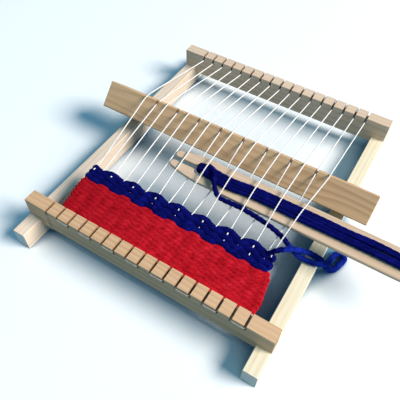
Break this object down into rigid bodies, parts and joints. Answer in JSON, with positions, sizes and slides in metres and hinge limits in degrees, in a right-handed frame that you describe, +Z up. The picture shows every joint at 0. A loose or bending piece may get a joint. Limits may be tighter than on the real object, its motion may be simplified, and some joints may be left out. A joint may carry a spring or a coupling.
{
  "type": "table loom",
  "caption": "Small wooden frame loom with slotted beams, a turning heddle bar, a forked stick shuttle and a strip of red and blue weaving on a white warp.",
  "frame": {"origin": "middle of the frame, midway between the rails and between the beams, on the table", "axes": "+X along the beams to the weaver's right, +Y from the weaver to the back beam, +Z up"},
  "size_m": [0.289, 0.262, 0.0497],
  "materials": {
    "pine": "sanded pale pine, unvarnished",
    "heddle_wood": "sanded pine, a little darker",
    "shuttle_wood": "smooth sanded wood",
    "screw_steel": "zinc-plated steel",
    "warp_cotton": "twisted white cotton string",
    "red_yarn": "soft red wool weft",
    "blue_yarn": "soft navy wool yarn"
  },
  "bodies": {
    "frame": {"left_rail": "pine", "right_rail": "pine", "front_beam": "pine", "back_beam": "pine", "beam_screws": "screw_steel", "weft_red": "red_yarn", "weft_blue": "blue_yarn", "warp_front": "warp_cotton", "warp_back": "warp_cotton", "weft_tail": "blue_yarn"},
    "heddle": {"heddle_bar": "heddle_wood"},
    "upper_crest": {"warp_crest_upper": "warp_cotton"},
    "lower_crest": {"warp_crest_lower": "warp_cotton"},
    "shuttle": {"shuttle": "shuttle_wood", "shuttle_yarn": "blue_yarn"}
  },
  "joints": [
    {"name": "heddle_turn", "type": "hinge", "parent": "frame", "child": "heddle", "pos_m": [0, 0.0128, 0.03277], "axis": [1, 0, 0], "range_deg": [0, 90], "deforming": ["warp_front", "warp_back", "warp_crest_upper", "warp_crest_lower"]},
    {"name": "upper_crest_drop", "type": "slide", "parent": "frame", "child": "upper_crest", "axis": [0, 0, -1], "range_m": [0, 0.0034], "deforming": ["warp_front", "warp_back", "warp_crest_upper"]},
    {"name": "lower_crest_lift", "type": "slide", "parent": "frame", "child": "lower_crest", "axis": [0, 0, 1], "range_m": [0, 0.0034], "deforming": ["warp_front", "warp_back", "warp_crest_lower"]},
    {"name": "shuttle_slide", "type": "slide", "parent": "frame", "child": "shuttle", "axis": [1, 0, 0], "range_m": [0, 0.16], "deforming": ["weft_tail", "warp_front"]}
  ],
  "couplings": [
    {"joint": "upper_crest_drop", "follows": "heddle_turn", "m_per_rad": 0.0021008},
    {"joint": "lower_crest_lift", "follows": "heddle_turn", "m_per_rad": 0.0021008}
  ]
}
